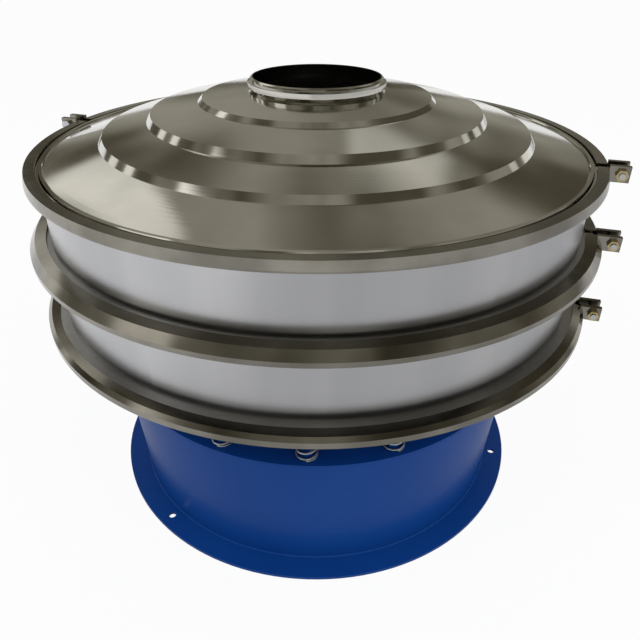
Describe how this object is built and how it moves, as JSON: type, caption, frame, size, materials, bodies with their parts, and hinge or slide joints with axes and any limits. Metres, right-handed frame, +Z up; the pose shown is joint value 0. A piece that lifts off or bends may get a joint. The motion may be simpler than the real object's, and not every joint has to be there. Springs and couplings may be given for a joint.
{
  "type": "vibrating sieve",
  "caption": "Round vibrating sieve: stepped lid with feed collar, two clamped stainless frames round a mesh deck, and a vertical shaker motor on a sprung blue base.",
  "frame": {"origin": "centre of the base's floor bolt circle, on the floor", "axes": "+Z up along the motor and lid axis; -Y is the front, where no outlet spout shows, and both spouts are towards +Y"},
  "size_m": [1.0528, 1.0696, 0.7826],
  "materials": {
    "blue_paint": "gloss",
    "polished_stainless": "mirror polished",
    "stainless_sheet": "satin",
    "wire_mesh": "woven",
    "zinc_steel": "zinc plated",
    "yellow_zinc": "yellow passivated",
    "motor_paint": "semi-gloss",
    "core_steel": "laminated",
    "cast_weight": "as cast",
    "ground_steel": "ground",
    "terminal_aluminium": "cast",
    "gland_nylon": "satin",
    "gasket_rubber": "matt"
  },
  "bodies": {
    "base": {"base_flange": "blue_paint", "base_skirt": "blue_paint", "base_top_plate": "blue_paint", "lower_spring_studs": "blue_paint", "springs": "zinc_steel"},
    "deck": {"vibrating_table": "blue_paint", "upper_spring_studs": "blue_paint", "motor_housing": "motor_paint", "motor_bolts": "zinc_steel", "motor_top_cover": "motor_paint", "motor_bottom_cover": "motor_paint", "upper_bearing": "ground_steel", "lower_bearing": "ground_steel", "stator": "core_steel", "terminal_box": "terminal_aluminium", "cable_gland": "gland_nylon", "bottom_gasket": "gasket_rubber", "lower_frame": "stainless_sheet", "lower_spout": "stainless_sheet", "bottom_dish": "stainless_sheet", "screen_frame": "stainless_sheet", "screen_mesh": "wire_mesh", "screen_gasket": "gasket_rubber", "support_grid": "stainless_sheet", "upper_frame": "stainless_sheet", "upper_spout": "stainless_sheet", "lid_gasket": "gasket_rubber", "lid": "polished_stainless", "feed_collar": "polished_stainless", "lid_clamp_front": "polished_stainless", "lid_clamp_rear": "polished_stainless", "lid_clamp_bolts": "zinc_steel", "lid_clamp_nuts": "yellow_zinc", "deck_clamp_front": "polished_stainless", "deck_clamp_rear": "polished_stainless", "deck_clamp_bolts": "zinc_steel", "deck_clamp_nuts": "yellow_zinc", "base_clamp_front": "polished_stainless", "base_clamp_rear": "polished_stainless", "base_clamp_bolts": "zinc_steel", "base_clamp_nuts": "yellow_zinc"},
    "rotor": {"motor_shaft": "ground_steel", "rotor_core": "core_steel", "upper_weight": "cast_weight", "lower_weight": "cast_weight"},
    "trim_weight": {"adjusting_weight": "cast_weight"}
  },
  "joints": [
    {"name": "deck_bounce", "type": "slide", "parent": "base", "child": "deck", "axis": [0, 0, 1], "range_m": [-0.005, 0.005], "stiffness_N_per_m": 160000, "springref_m": 0.0092, "deforming": ["springs"]},
    {"name": "rotor_spin", "type": "hinge", "parent": "deck", "child": "rotor", "pos_m": [0, 0, 0.26], "axis": [0, 0, 1], "continuous": true},
    {"name": "weight_phase", "type": "hinge", "parent": "rotor", "child": "trim_weight", "pos_m": [0, 0, 0.088], "axis": [0, 0, 1], "range_deg": [0, 90]}
  ]
}
